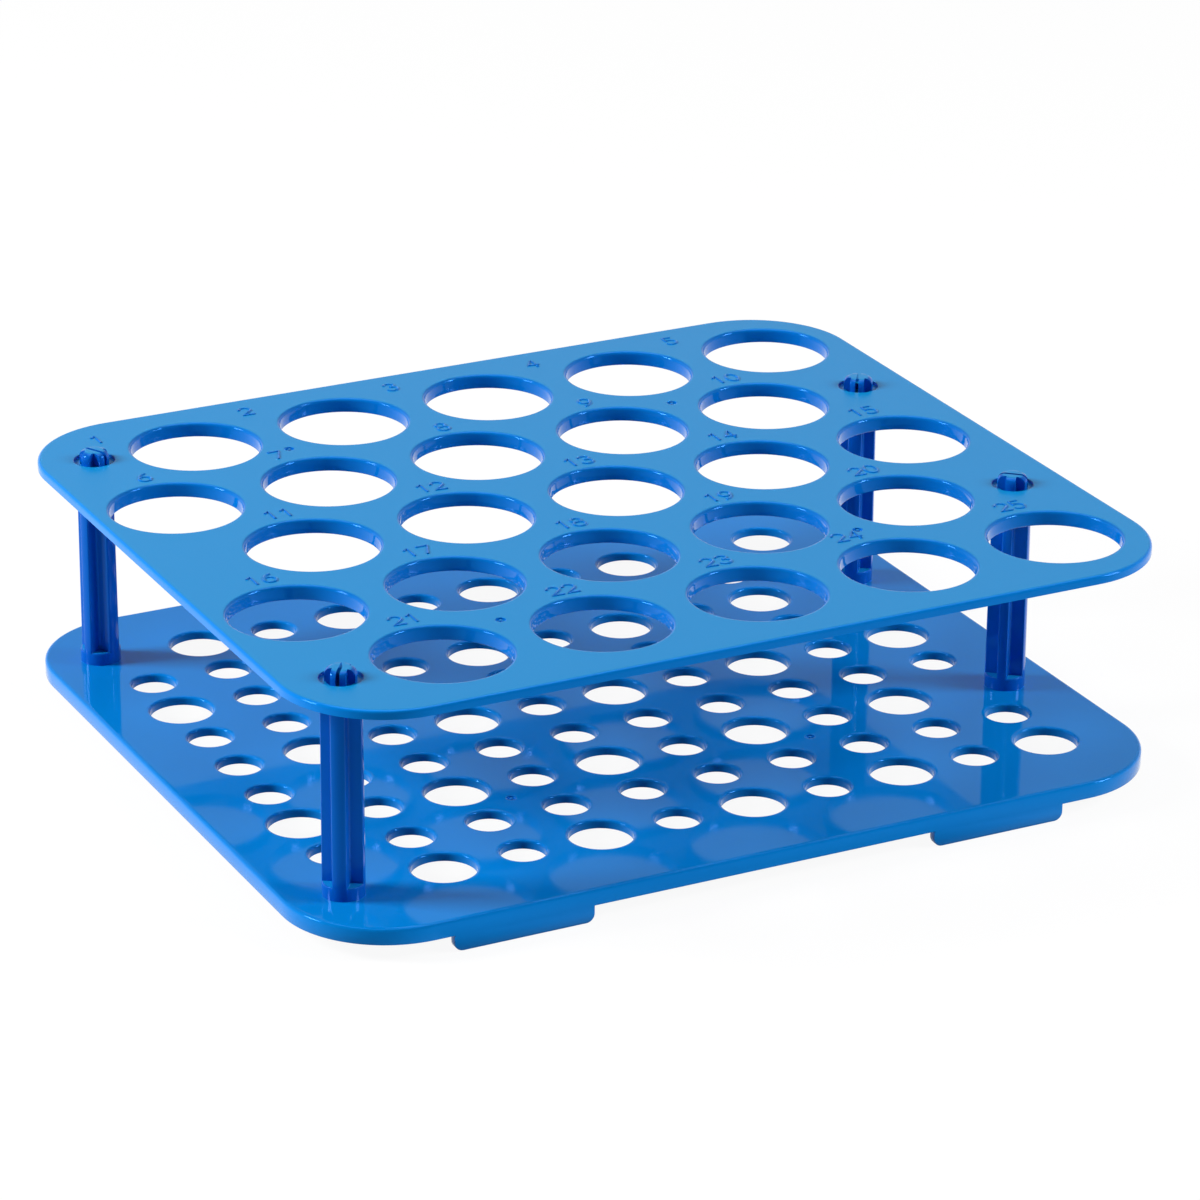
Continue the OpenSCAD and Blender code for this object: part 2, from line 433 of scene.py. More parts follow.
def make_piece(bm: BMesh, name: str, finish: MouldedPolypropylene, *nodes: str) -> Object:
    """Turn a bmesh in millimetres into a finished piece that rides on the body.

    Args:
        bm: The mesh, which is used up.
        name: The piece's name.
        finish: What it is made of.
        *nodes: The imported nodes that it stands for.

    Returns:
        The piece's object.
    """
    bmesh.ops.remove_doubles(bm, verts=bm.verts, dist=TOUCH)
    bmesh.ops.recalc_face_normals(bm, faces=bm.faces)
    bmesh.ops.scale(bm, vec=(MM, MM, MM), verts=bm.verts)
    mesh = bpy.data.meshes.new(name)
    bm.to_mesh(mesh)
    bm.free()
    mesh.shade_smooth()
    mesh.set_sharp_from_angle(angle=SHARP_TURN)
    piece = add_object(name, mesh)
    piece.data.materials.append(finish.material())
    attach(piece, BODY)
    if nodes:
        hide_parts(*nodes)
    LOG.info("%s: %d faces", name, len(mesh.polygons))
    return piece


# ---- Plates ----

@dataclass
class Plate:
    """What both plates share: the outline, the edge's rounding and the gate marks.

    A form that pierces a plate brings a narrow flat ring, rim_flat wide, to lie in the
    plate's face, and the rest of the face is filled between these rings.
    """

    node: str
    thickness: float = 2.0
    corner_r: float = 24.0
    edge_r: float = 0.8
    edge_steps: int = 6
    corner_steps: int = 24
    rim_flat: float = 0.25
    soft_steps: int = 3
    snap_hole_d: float = 6.4
    gate_d: float = 2.2
    gate_depth: float = 0.5
    gate_soft: float = 0.12
    gate_sides: int = 24
    vestige_d: float = 0.8
    vestige_edge: float = -0.02
    vestige_middle: float = -0.05

    def __post_init__(self) -> None:
        """Read the node's box."""
        low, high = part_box(self.node)
        self.low, self.high = millimetres(low), millimetres(high)

    def draw_upper_edge(self, bm: BMesh) -> Pen:
        """Draw the edge's section down to the foot of its rounding.

        Args:
            bm: The mesh to draw in.

        Returns:
            The pen, on the outer wall.
        """
        start = self.side_starts()[0]
        inner = self.corner_r - self.edge_r
        top = self.high.z
        pen = Pen.at(bm, (start.x, start.y - inner + self.rim_flat, top))
        pen.line((start.x, start.y - inner, top))
        return pen.arc((start.x, start.y - inner, top - self.edge_r), (1, 0, 0),
                       90, self.edge_steps)

    def side_starts(self) -> list[Vector]:
        """List the corner arcs' centres.

        Returns:
            The centres, from the front left one round by the front.
        """
        reach = self.high - Vector((self.corner_r, self.corner_r, 0))
        return [Vector((-reach.x, -reach.y, 0)), Vector((reach.x, -reach.y, 0)),
                Vector((reach.x, reach.y, 0)), Vector((-reach.x, reach.y, 0))]

    def sweep_edge(self, bm: BMesh, stops: Sequence[float] = ()) -> None:
        """Sweep the drawn section once round the plate.

        Args:
            bm: The mesh that holds only the section, at the start of the front side.
            stops: Places along X at which the front and back sides get an extra loop.
        """
        last = bm.verts[:] + bm.edges[:]
        centres = self.side_starts()
        for side, centre in enumerate(centres):
            target = centres[(side + 1) % len(centres)]
            ahead = (target - centre).normalized()
            along_x = ahead.cross(Vector((1, 0, 0))).length < TOUCH
            here = centre.dot(ahead)
            marks = [x * ahead.x for x in stops if along_x]
            for mark in [*sorted(marks), target.dot(ahead)]:
                last = bmesh.ops.spin(bm, geom=last, dvec=ahead * (mark - here),
                                      axis=UP, angle=0, steps=1)["geom_last"]
                here = mark
            last = bmesh.ops.spin(bm, geom=last, cent=target, axis=UP,
                                  angle=math.radians(90),
                                  steps=self.corner_steps)["geom_last"]
        bmesh.ops.remove_doubles(bm, verts=bm.verts, dist=10 * TOUCH)

    def draw_mouth(self, form: BMesh, radius: float, soft: float, steps: int) -> Pen:
        """Draw a hole's mouth: a flat ring in the plate's face and a rounded rim.

        Args:
            form: The mesh to draw in.
            radius: The hole's radius under the rim.
            soft: The rim's radius.
            steps: How many edges the rim gets.

        Returns:
            The pen, at the top of the hole's wall.
        """
        pen = Pen.at(form, (radius + soft + self.rim_flat, 0, 0))
        pen.line((radius + soft, 0, 0))
        return pen.arc((radius + soft, 0, -soft), ROUND_Y, 90, steps)

    def gate_form(self) -> BMesh:
        """Model the dimple round the stub that is left where a gate was cut.

        Returns:
            The dimple and the stub, with the plate's face at z = 0.
        """
        form = bmesh.new()
        outer, inner, soft = self.gate_d / 2, self.vestige_d / 2, self.gate_soft
        deep = -self.gate_depth
        pen = self.draw_mouth(form, outer, soft, self.soft_steps)
        pen.line((outer, 0, deep), (inner, 0, deep), (inner, 0, -soft),
                 (inner - soft, 0, self.vestige_edge), (0, 0, self.vestige_middle))
        revolve(form, self.gate_sides)
        return form


@dataclass
class TopPlate(Plate):
    """The flat upper plate: rimmed tube holes with collars, and the snap heads' recesses."""

    node: str = "top_plate"
    tube_hole_d: float = 29.6
    tube_rim_r: float = 0.8
    tube_rim_steps: int = 8
    tube_hole_sides: int = 96
    collar_drop: float = 1.4
    collar_wall: float = 1.4
    collar_soft: float = 0.3
    recess_d: float = 9.3
    recess_depth: float = 0.7
    recess_soft: float = 0.15
    recess_sides: int = 48
    gate_reach: float = 22.3
    gate_holes: tuple[tuple[int, int], ...] = ((7, 1), (17, -1), (4, -1), (24, 1))

    def hole_form(self) -> BMesh:
        """Model one tube hole with its collar.

        Returns:
            The hole's wall and the collar, with the plate's face at z = 0.
        """
        form = bmesh.new()
        r, soft = self.tube_hole_d / 2, self.collar_soft
        foot = -self.thickness - self.collar_drop
        wide = r + self.collar_wall
        pen = self.draw_mouth(form, r, self.tube_rim_r, self.tube_rim_steps)
        pen.line((r, 0, -self.thickness), (r, 0, foot + soft))
        pen.arc((r + soft, 0, foot + soft), ROUND_Y, 90, self.soft_steps)
        pen.line((wide - soft, 0, foot))
        pen.arc((wide - soft, 0, foot + soft), ROUND_Y, 90, self.soft_steps)
        pen.line((wide, 0, -self.thickness), (wide + self.rim_flat, 0, -self.thickness))
        revolve(form, self.tube_hole_sides)
        return form

    def seat_form(self) -> BMesh:
        """Model the stepped hole that a post's snap head lies in.

        Returns:
            The hole's wall and its recess, with the plate's face at z = 0.
        """
        form = bmesh.new()
        wide, r = self.recess_d / 2, self.snap_hole_d / 2
        pen = self.draw_mouth(form, wide, self.recess_soft, self.soft_steps)
        pen.line((wide, 0, -self.recess_depth), (r + self.rim_flat, 0, -self.recess_depth),
                 (r, 0, -self.recess_depth), (r, 0, -self.thickness),
                 (r + self.rim_flat, 0, -self.thickness))
        revolve(form, self.recess_sides)
        return form

    def build(self, grid: HoleGrid, posts: Sequence[Vector]) -> Object:
        """Model and dress the plate.

        Args:
            grid: The grid of tube holes.
            posts: The middles of the posts.

        Returns:
            The plate's object.
        """
        bm = bmesh.new()
        top, under = self.high.z, self.high.z - self.thickness
        start = self.side_starts()[0]
        pen = self.draw_upper_edge(bm)
        pen.line((start.x, start.y - self.corner_r, under),
                 (start.x, start.y - self.corner_r + self.rim_flat, under))
        self.sweep_edge(bm)
        # The outer edge's faces take the second finish, which is painted lighter: painted
        # light.
        for face in bm.faces:
            face.material_index = 1
        lift = UP * top
        stamp(bm, self.hole_form(), [hole + lift for hole in grid.holes()])
        stamp(bm, self.seat_form(), [post + lift for post in posts])
        gates = [grid.hole(number) + Vector((0, side * self.gate_reach, top))
                 for number, side in self.gate_holes]
        stamp(bm, self.gate_form(), gates)
        fill_level(bm, top)
        fill_level(bm, under)
        piece = make_piece(bm, "top_plate_moulding", TOP_FINISH, self.node)
        piece.data.materials.append(PAINTED_EDGE_LIGHT_FINISH.material())
        return piece


@dataclass
class BasePlate(Plate):
    """The tray-shaped lower plate: pierced web, skirt and four standing lugs.

    Its gate marks lie beside tip holes, off them by shares of the pitches.
    """

    node: str = "base_plate"
    skirt_h: float = 3.8
    skirt_t: float = 2.0
    tip_hole_d: float = 14.2
    tip_hole_sides: int = 56
    drain_hole_d: float = 10.0
    drain_hole_sides: int = 48
    drain_keep_out: float = 12.6
    snap_hole_sides: int = 32
    rim_r: float = 0.65
    rim_steps: int = 5
    lug_l: float = 32.4
    lug_r: float = 2.0
    lug_steps: int = 8
    lug_spacing: float = 114.4
    foot_turn: float = 60.0
    foot_r: float = 0.2
    foot_steps: int = 2
    gate_across: float = -0.25
    gate_along: float = 0.75
    gate_holes: tuple[tuple[int, int], ...] = ((2, -1), (4, -1), (22, 1), (24, 1))

    def hole_form(self, diameter: float, steps: int) -> BMesh:
        """Model a hole through the web, with the plate's face at z = 0.

        Args:
            diameter: The hole's diameter.
            steps: How many faces go round.

        Returns:
            The hole's wall, with a flat ring round each end.
        """
        form = bmesh.new()
        r = diameter / 2
        pen = self.draw_mouth(form, r, self.rim_r, self.rim_steps)
        pen.line((r, 0, -self.thickness), (r + self.rim_flat, 0, -self.thickness))
        revolve(form, steps)
        return form

    def lug_ends(self, grid: HoleGrid) -> list[float]:
        """List where the lugs begin and end along X.

        Args:
            grid: The grid of tube holes, which the lugs stand even with.

        Returns:
            The beginning and end of the left lug, then of the right one.
        """
        holes = [hole.x for hole in grid.holes()]
        middle = (min(holes) + max(holes)) / 2
        return [middle + side * self.lug_spacing / 2 + end * self.lug_l / 2
                for side in (-1, 1) for end in (-1, 1)]

    def draw_lugs(self, bm: BMesh, ends: Sequence[float]) -> None:
        """Pull the lugs down from the skirt's lower face and round their corners.

        Args:
            bm: The mesh of the swept skirt.
            ends: Where the lugs begin and end along X.
        """
        foot = self.high.z - self.skirt_h
        below = [f for f in bm.faces if all(abs(v.co.z - foot) < TOUCH for v in f.verts)]
        for start, end in zip(ends[::2], ends[1::2]):
            faces = [f for f in below
                     if f.is_valid and start < f.calc_center_median().x < end]
            drawn = bmesh.ops.extrude_face_region(bm, geom=faces)["geom"]
            verts = [v for v in drawn if isinstance(v, BMVert)]
            bmesh.ops.translate(bm, verts=verts, vec=(0, 0, self.low.z - foot))
        corners = [e for e in bm.edges
                   if all(abs(v.co.z - self.low.z) < TOUCH for v in e.verts)
                   and abs(e.verts[0].co.x - e.verts[1].co.x) < TOUCH]
        bmesh.ops.bevel(bm, geom=corners, offset=self.lug_r, offset_type="OFFSET",
                        segments=self.lug_steps, profile=0.5, affect="EDGES", material=-1)

    def soften_foot(self, bm: BMesh) -> None:
        """Round the sharp lower edges of the skirt and its lugs.

        Args:
            bm: The mesh of the skirt with its lugs.
        """
        foot = self.high.z - self.skirt_h
        sharp = [e for e in bm.edges if len(e.link_faces) == 2
                 and e.calc_face_angle() > math.radians(self.foot_turn)
                 and all(v.co.z < foot + 10 * TOUCH for v in e.verts)]
        bmesh.ops.bevel(bm, geom=sharp, offset=self.foot_r, offset_type="OFFSET",
                        segments=self.foot_steps, profile=0.5, affect="EDGES", material=-1)

    def build(self, grid: HoleGrid, posts: Sequence[Vector]) -> Object:
        """Model and dress the plate.

        Args:
            grid: The grid of tube holes.
            posts: The middles of the posts.

        Returns:
            The plate's object.
        """
        bm = bmesh.new()
        top, under = self.high.z, self.high.z - self.thickness
        foot = top - self.skirt_h
        start = self.side_starts()[0]
        wall = start.y - self.corner_r
        pen = self.draw_upper_edge(bm)
        pen.line((start.x, wall, foot), (start.x, wall + self.skirt_t, foot),
                 (start.x, wall + self.skirt_t, under),
                 (start.x, wall + self.skirt_t + self.rim_flat, under))
        ends = self.lug_ends(grid)
        self.sweep_edge(bm, ends)
        bmesh.ops.recalc_face_normals(bm, faces=bm.faces)
        self.draw_lugs(bm, ends)
        self.soften_foot(bm)
        lift = UP * top
        for diameter, sides, places in (
                (self.tip_hole_d, self.tip_hole_sides, grid.holes()),
                (self.drain_hole_d, self.drain_hole_sides,
                 grid.drains(posts, self.drain_keep_out)),
                (self.snap_hole_d, self.snap_hole_sides, posts)):
            stamp(bm, self.hole_form(diameter, sides), [place + lift for place in places])
        across, along = self.gate_across * grid.pitch(), self.gate_along * grid.row_pitch()
        gates = [grid.hole(number) + Vector((across, side * along, top))
                 for number, side in self.gate_holes]
        stamp(bm, self.gate_form(), gates)
        fill_level(bm, top)
        fill_level(bm, under)
        return make_piece(bm, "base_plate_moulding", BASE_FINISH, self.node)


# ---- Posts ----

@dataclass
class Post:
    """A ribbed post with a foot collar and a split snap head at each end.

    Seen from above it is a cross with two wide and two thin ribs, rounded in its flutes.
    """

    node: str
    turn: float
    round_sides: int = 64
    foot_d: float = 9.2
    top_d: float = 8.8
    rib_wide: float = 3.2
    rib_thin: float = 2.2
    rib_wide_steps: int = 4
    rib_thin_steps: int = 3
    rib_soft: float = 0.22
    rib_soft_steps: int = 4
    rib_end: float = 0.1
    flute_r: float = 0.5
    flute_steps: int = 6
    collar_h: float = 3.0
    collar_soft: float = 0.35
    collar_steps: int = 5
    neck_d: float = 6.1
    hook_d: float = 6.9
    head_h: float = 3.0
    head_flat_d: float = 3.8
    head_steps: int = 8
    slot_w: float = 0.8
    snap_play: float = 0.05

    def middle(self) -> Vector:
        """Find the post's axis from its node's box.

        Returns:
            A point of the axis, with z at 0.
        """
        low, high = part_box(self.node)
        middle = (millimetres(low) + millimetres(high)) / 2
        return Vector((middle.x, middle.y, 0))

    def ribs(self, low: float, high: float) -> BMesh:
        """Model the ribs as a cross that tapers upwards.

        Args:
            low: Where they start, inside the collar.
            high: Where they end, under the top plate.

        Returns:
            The closed solid.
        """
        form = bmesh.new()
        reach, wide, thin = self.foot_d / 2, self.rib_wide / 2, self.rib_thin / 2
        wide_turn = math.degrees(math.asin(wide / reach))
        thin_turn = math.degrees(math.asin(thin / reach))
        pen = Pen.at(form, (reach, 0, low))
        pen.arc((0, 0, low), UP, wide_turn, self.rib_wide_steps)
        wide_corner = pen.tip
        pen.line((thin, wide, low))
        flute = pen.tip
        pen.line((thin, math.sqrt(reach ** 2 - thin ** 2), low))
        thin_corner = pen.tip
        pen.arc((0, 0, low), UP, thin_turn, self.rib_thin_steps)
        for corner, radius, steps in (
                (wide_corner, self.rib_soft, self.rib_soft_steps),
                (thin_corner, self.rib_soft, self.rib_soft_steps),
                (flute, self.flute_r, self.flute_steps)):
            bmesh.ops.bevel(form, geom=[corner], offset=radius, offset_type="OFFSET",
                            segments=steps, profile=0.5, affect="VERTICES", material=-1)
        for axis in ("X", "Y"):
            bmesh.ops.mirror(form, geom=form.verts[:] + form.edges[:], axis=axis,
                             merge_dist=TOUCH)
        bmesh.ops.remove_doubles(form, verts=form.verts, dist=TOUCH)
        bmesh.ops.edgeloop_fill(form, edges=form.edges)
        drawn = bmesh.ops.extrude_face_region(form, geom=form.faces[:])["geom"]
        verts = [v for v in drawn if isinstance(v, BMVert)]
        bmesh.ops.translate(form, verts=verts, vec=(0, 0, high - low))
        draw_in = (self.foot_d - self.top_d) / 2
        for axis, half in ((Vector((1, 0, 0)), thin), (Vector((0, 1, 0)), wide)):
            for side in (-1, 1):
                ends = [v for v in verts
                        if v.co.dot(axis) * side > half + self.flute_r + self.rib_end]
                bmesh.ops.translate(form, verts=ends, vec=axis * -side * draw_in)
        return form

    def collar(self, low: float) -> BMesh:
        """Model the solid collar at the post's foot.

        Args:
            low: Where it starts.

        Returns:
            The closed solid.
        """
        form = bmesh.new()
        r, soft, high = self.foot_d / 2, self.collar_soft, low + self.collar_h
        pen = Pen.at(form, (0, 0, low))
        pen.line((r, 0, low), (r, 0, high - soft))
        pen.arc((r - soft, 0, high - soft), ROUND_Y, 90, self.collar_steps)
        pen.line((0, 0, high))
        revolve(form, self.round_sides)
        return form

    def snap_end(self, grip: float) -> BMesh:
        """Model a split neck and domed head: a dome cut into two T-shaped prongs.

        Args:
            grip: The thickness of plate that the neck passes.

        Returns:
            The prongs, with the neck's foot at z = 0.
        """
        form = bmesh.new()
        wide, thin, slot = self.rib_wide / 2, self.rib_thin / 2, self.slot_w / 2
        for side in (-1, 1):
            self.cut_dome(form, grip, ((0, side, 0), slot), ((0, -side, 0), -wide))
            self.cut_dome(form, grip, ((0, side, 0), wide),
                          ((1, 0, 0), -thin), ((-1, 0, 0), -thin))
        return form

    def cut_dome(self, form: BMesh, grip: float, *cuts: tuple[Point, float]) -> None:
        """Revolve the neck and dome, and keep what lies beyond every cut.

        Args:
            form: The mesh that gets the cut dome.
            grip: The thickness of plate that the neck passes.
            *cuts: Each a direction and how far along it the kept side starts.
        """
        dome = bmesh.new()
        neck, hook, flat = self.neck_d / 2, self.hook_d / 2, self.head_flat_d / 2
        seat = grip + self.snap_play
        top = seat + self.head_h
        bend = top - (hook - flat)
        pen = Pen.at(dome, ORIGIN)
        pen.line((neck, 0, 0), (neck, 0, seat), (hook, 0, seat), (hook, 0, bend))
        pen.arc((flat, 0, bend), ROUND_Y, 90, self.head_steps)
        pen.line((0, 0, top))
        revolve(dome, self.round_sides)
        for direction, start in cuts:
            normal = Vector(direction)
            cut = bmesh.ops.bisect_plane(
                dome, geom=dome.verts[:] + dome.edges[:] + dome.faces[:], dist=TOUCH / 10,
                plane_co=normal * start, plane_no=normal, clear_inner=True)
            rim = [e for e in cut["geom_cut"] if isinstance(e, BMEdge)]
            bmesh.ops.edgeloop_fill(dome, edges=rim)
        bmesh.ops.recalc_face_normals(dome, faces=dome.faces)
        stamp(form, dome)
        dome.free()

    def build(self, lower: Plate, upper: TopPlate) -> Object:
        """Model and dress the post.

        Args:
            lower: The plate that it stands on.
            upper: The plate that it carries.

        Returns:
            The post's object.
        """
        foot = lower.high.z
        head = upper.high.z - upper.thickness
        bm = bmesh.new()
        stamp(bm, self.ribs(foot + self.collar_h / 2, head))
        stamp(bm, self.collar(foot))
        stamp(bm, self.snap_end(upper.thickness - upper.recess_depth), [UP * head])
        lower_end = self.snap_end(lower.thickness)
        bmesh.ops.scale(lower_end, vec=(1, 1, -1), verts=lower_end.verts)
        bmesh.ops.reverse_faces(lower_end, faces=lower_end.faces)
        stamp(bm, lower_end, [UP * foot])
        move = Matrix.Translation(self.middle()) @ Matrix.Rotation(
            math.radians(self.turn), 4, "Z")
        bmesh.ops.transform(bm, matrix=move, verts=bm.verts)
        return make_piece(bm, self.node + "_moulding", POST_FINISH, self.node)


# ---- Numbers beside the holes ----

ARC_TURN = 20.0  # degrees between the points of a digit's arc
Stroke = list[Pair]


def arc_points(centre: Pair, radii: Pair, start: float, end: float) -> Stroke:
    """Sample an elliptical arc of a digit's stroke.

    Args:
        centre: The ellipse's centre.
        radii: Its radii across and up.
        start: The first angle, in degrees from the right.
        end: The last angle.

    Returns:
        The points, no further apart than ARC_TURN.
    """
    steps = math.ceil(abs(end - start) / ARC_TURN)
    angles = [math.radians(start + (end - start) * i / steps) for i in range(steps + 1)]
    return [(centre[0] + radii[0] * math.cos(a), centre[1] + radii[1] * math.sin(a))
            for a in angles]


@dataclass
class HoleNumbers:
    """The raised numbers 1 to 25, one beside each tube hole."""

    digit_w: float = 2.8
    digit_h: float = 4.4
    advance: float = 3.7
    stroke_w: float = 0.62
    stroke_h: float = 0.27
    stroke_steps: int = 2
    beside: Pair = (0.3, 19.7)
    back_row: Pair = (-18.0, 15.5)
    moved: tuple[tuple[int, float, float], ...] = (
        (1, -18.9, 13.4), (7, -4.2, 19.7), (24, -4.2, 19.7))

    def strokes(self, digit: str) -> list[Stroke]:
        """Describe a digit as strokes in a box of its own width and height.

        The bare numbers here are the drawing itself: shares of the box's width and
        height, and angles in degrees.

        Args:
            digit: One character from 0 to 9.

        Returns:
            Each stroke as a run of points.
        """
        w, h = self.digit_w, self.digit_h
        mid, r = w / 2, w / 2
        low_r, high_r = h * 0.29, h * 0.24  # the bowls of a 3 and an 8
        shapes = {
            "0": [arc_points((mid, h / 2), (r, h / 2), 90, 450)],
            "1": [[(mid - 0.9, h * 0.78), (mid + 0.2, h), (mid + 0.2, 0)]],
            "2": [arc_points((mid, h - r), (r, r), 170, -35) + [(0, 0), (w, 0)]],
            "3": [arc_points((mid, h - high_r), (r * 0.9, high_r), 160, -90)
                  + arc_points((mid, low_r), (r, low_r), 90, -160)],
            "4": [[(w * 0.72, 0), (w * 0.72, h), (0, h * 0.3), (w, h * 0.3)]],
            "5": [[(w * 0.92, h), (w * 0.2, h)]
                  + arc_points((mid, h * 0.31), (r, h * 0.31), 135, -155)],
            "6": [arc_points((w * 1.05, h * 0.33), (w, h * 0.68), 100, 180)
                  + arc_points((mid, h * 0.31), (r, h * 0.31), 180, 540)],
            "7": [[(0, h), (w, h), (w * 0.35, 0)]],
            "8": [arc_points((mid, h - high_r), (r * 0.85, high_r), -90, 270),
                  arc_points((mid, low_r - 0.06), (r, low_r), 90, 450)],
            "9": [arc_points((w * -0.05, h * 0.67), (w, h * 0.68), -80, 0)
                  + arc_points((mid, h * 0.69), (r, h * 0.31), 0, 360)],
        }
        return shapes[digit]

    def place(self, number: int, grid: HoleGrid) -> Vector:
        """Find the middle of a number on the plate.

        Args:
            number: The number.
            grid: The grid of tube holes.

        Returns:
            The middle, with z at 0.
        """
        hole = grid.hole(number)
        shift = self.back_row if number <= grid.columns else self.beside
        for moved, dx, dy in self.moved:
            if moved == number:
                shift = (dx, dy)
        return hole + Vector((*shift, 0))

    def build(self, grid: HoleGrid, plate: Plate) -> Object:
        """Model the numbers as low round-topped ridges on the plate.

        Args:
            grid: The grid of tube holes.
            plate: The plate that carries them.

        Returns:
            One object with all numbers.
        """
        curve = bpy.data.curves.new("hole_numbers", "CURVE")
        curve.dimensions = "3D"
        curve.bevel_depth = self.stroke_w / 2
        curve.bevel_resolution = self.stroke_steps
        curve.use_fill_caps = True
        for number in range(1, grid.columns * grid.rows + 1):
            digits = str(number)
            width = self.digit_w + (len(digits) - 1) * self.advance
            corner = self.place(number, grid) - Vector((width / 2, self.digit_h / 2, 0))
            for order, digit in enumerate(digits):
                for stroke in self.strokes(digit):
                    spline = curve.splines.new("POLY")
                    spline.points.add(len(stroke) - 1)
                    for point, (x, y) in zip(spline.points, stroke):
                        point.co = (corner.x + order * self.advance + x, corner.y + y, 0, 1)
        drawn = add_object("hole_number_strokes", curve)
        bpy.context.view_layer.update()
        mesh = bpy.data.meshes.new_from_object(
            drawn.evaluated_get(bpy.context.evaluated_depsgraph_get()))
        bpy.data.objects.remove(drawn)
        bm = bmesh.new()
        bm.from_mesh(mesh)
        bmesh.ops.scale(bm, vec=(1, 1, 2 * self.stroke_h / self.stroke_w), verts=bm.verts)
        bmesh.ops.translate(bm, vec=UP * plate.high.z, verts=bm.verts)
        return make_piece(bm, "hole_numbers", TOP_FINISH)


# ---- Studio ----

